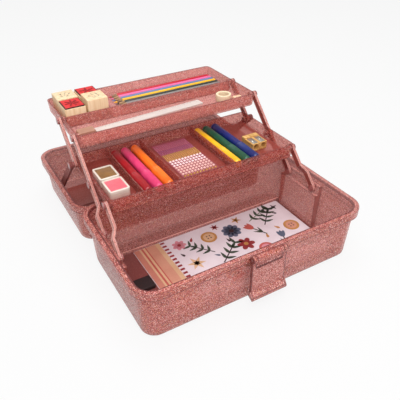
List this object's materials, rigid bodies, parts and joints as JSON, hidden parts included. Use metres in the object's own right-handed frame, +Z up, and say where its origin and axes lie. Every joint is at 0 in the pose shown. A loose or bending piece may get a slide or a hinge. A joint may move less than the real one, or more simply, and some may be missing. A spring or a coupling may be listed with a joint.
{
  "type": "art supply box",
  "caption": "Open folding art supply box: drafted bin with a front latch, a lid flat behind it and tiered trays on parallel arms, holding drawing supplies.",
  "frame": {"origin": "centre of the bin's flat underside, on the table", "axes": "+X along the front to the right, +Y to the back, +Z up; the box stands open"},
  "size_m": [0.3, 0.38, 0.1616],
  "materials": {
    "glitter_rose": "rose plastic with fine glitter moulded in",
    "pivot_rose": "rose plastic rivets",
    "steel": "bright pin steel",
    "card": "printed card",
    "black": "soft black",
    "cream_plastic": "cream plastic",
    "felt_coral": "inked felt",
    "felt_gold": "inked felt",
    "pale_wood": "bare pale wood",
    "red_rubber": "cut stamp rubber",
    "eraser_rubber": "soft eraser",
    "clear_plastic": "milky ruler plastic",
    "gem_pink": "sheet of stick-on gems",
    "ink_red": "coloured barrel",
    "ink_pink": "coloured barrel",
    "ink_orange": "coloured barrel",
    "ink_yellow": "coloured barrel",
    "ink_green": "coloured barrel",
    "ink_blue": "coloured barrel",
    "lacquer_red": "lacquered pencil",
    "lacquer_pink": "lacquered pencil",
    "lacquer_blue": "lacquered pencil",
    "lacquer_yellow": "lacquered pencil",
    "lacquer_green": "lacquered pencil",
    "lacquer_grey": "lacquered pencil"
  },
  "bodies": {
    "base": {"base_bin": "glitter_rose", "hinge_pins": "steel", "base_pivot_pins": "pivot_rose", "latch_pins": "steel", "sticker_card": "card", "charcoal_block": "black"},
    "lid": {"lid_shell": "glitter_rose", "handle_pins": "steel"},
    "handle": {"carry_handle": "glitter_rose"},
    "latch": {"latch": "glitter_rose"},
    "long_arms": {"long_arm_left": "glitter_rose", "long_arm_right": "glitter_rose"},
    "front_arms": {"front_arm_left": "glitter_rose", "front_arm_right": "glitter_rose"},
    "upper_arms": {"upper_arm_left": "glitter_rose", "upper_arm_right": "glitter_rose"},
    "lid_links": {"lid_link_left": "glitter_rose", "lid_link_right": "glitter_rose"},
    "lower_tray": {"lower_tray": "glitter_rose", "lower_tray_pins": "pivot_rose", "lower_divider_left": "glitter_rose", "lower_divider_middle": "glitter_rose", "lower_divider_right": "glitter_rose", "ink_case_gold": "cream_plastic", "ink_case_coral": "cream_plastic", "ink_felt_gold": "felt_gold", "ink_felt_coral": "felt_coral", "marker_red": "ink_red", "marker_pink": "ink_pink", "marker_orange": "ink_orange", "marker_yellow": "ink_yellow", "marker_green": "ink_green", "marker_blue": "ink_blue", "gem_sheet": "gem_pink", "sharpener_body": "pale_wood", "sharpener_blades": "steel"},
    "upper_tray": {"upper_tray": "glitter_rose", "upper_tray_pins": "pivot_rose", "upper_long_divider": "glitter_rose", "upper_cross_divider": "glitter_rose", "stamp_front_left": "pale_wood", "stamp_front_right": "pale_wood", "stamp_rear_left": "pale_wood", "stamp_rear_right": "pale_wood", "stamp_rubber_front": "red_rubber", "stamp_rubber_rear": "red_rubber", "pencil_red": "lacquer_red", "pencil_pink": "lacquer_pink", "pencil_blue": "lacquer_blue", "pencil_yellow": "lacquer_yellow", "pencil_green": "lacquer_green", "pencil_grey": "lacquer_grey", "ruler": "clear_plastic", "tape_roll": "cream_plastic", "wood_stick": "pale_wood", "eraser": "eraser_rubber"}
  },
  "joints": [
    {"name": "lid_hinge", "type": "hinge", "parent": "base", "child": "lid", "pos_m": [0, 0.094, 0.06525], "axis": [1, 0, 0], "range_deg": [0, 180]},
    {"name": "handle_swing", "type": "hinge", "parent": "lid", "child": "handle", "pos_m": [0, 0.201, 0.0016], "axis": [1, 0, 0], "range_deg": [-90, 0]},
    {"name": "latch_swing", "type": "hinge", "parent": "base", "child": "latch", "pos_m": [0, -0.093, 0.07], "axis": [1, 0, 0], "range_deg": [-178, 0]},
    {"name": "long_arm_swing", "type": "hinge", "parent": "base", "child": "long_arms", "pos_m": [0, 0.0425, 0.0592], "axis": [1, 0, 0], "range_deg": [0, 112]},
    {"name": "front_arm_swing", "type": "hinge", "parent": "base", "child": "front_arms", "pos_m": [0, -0.006, 0.0592], "axis": [1, 0, 0], "range_deg": [0, 112]},
    {"name": "lower_tray_pivot", "type": "hinge", "parent": "long_arms", "child": "lower_tray", "pos_m": [0, 0.08464, 0.10134], "axis": [1, 0, 0], "range_deg": [-112, 0]},
    {"name": "upper_tray_pivot", "type": "hinge", "parent": "long_arms", "child": "upper_tray", "pos_m": [0, 0.12679, 0.14349], "axis": [1, 0, 0], "range_deg": [-112, 0]},
    {"name": "upper_arm_swing", "type": "hinge", "parent": "lower_tray", "child": "upper_arms", "pos_m": [0, 0.13964, 0.10134], "axis": [1, 0, 0], "range_deg": [0, 112]},
    {"name": "lid_link_swing", "type": "hinge", "parent": "lower_tray", "child": "lid_links", "pos_m": [0, 0.13964, 0.10134], "axis": [1, 0, 0], "range_deg": [0, 207.9]}
  ],
  "couplings": [
    {"joint": "long_arm_swing", "follows": "lid_hinge", "ratio": 0.62222},
    {"joint": "front_arm_swing", "follows": "lid_hinge", "ratio": 0.62222},
    {"joint": "lower_tray_pivot", "follows": "lid_hinge", "ratio": -0.62222},
    {"joint": "upper_tray_pivot", "follows": "lid_hinge", "ratio": -0.62222},
    {"joint": "upper_arm_swing", "follows": "lid_hinge", "ratio": 0.62222},
    {"joint": "lid_link_swing", "follows": "lid_hinge", "ratio": 1.155}
  ]
}
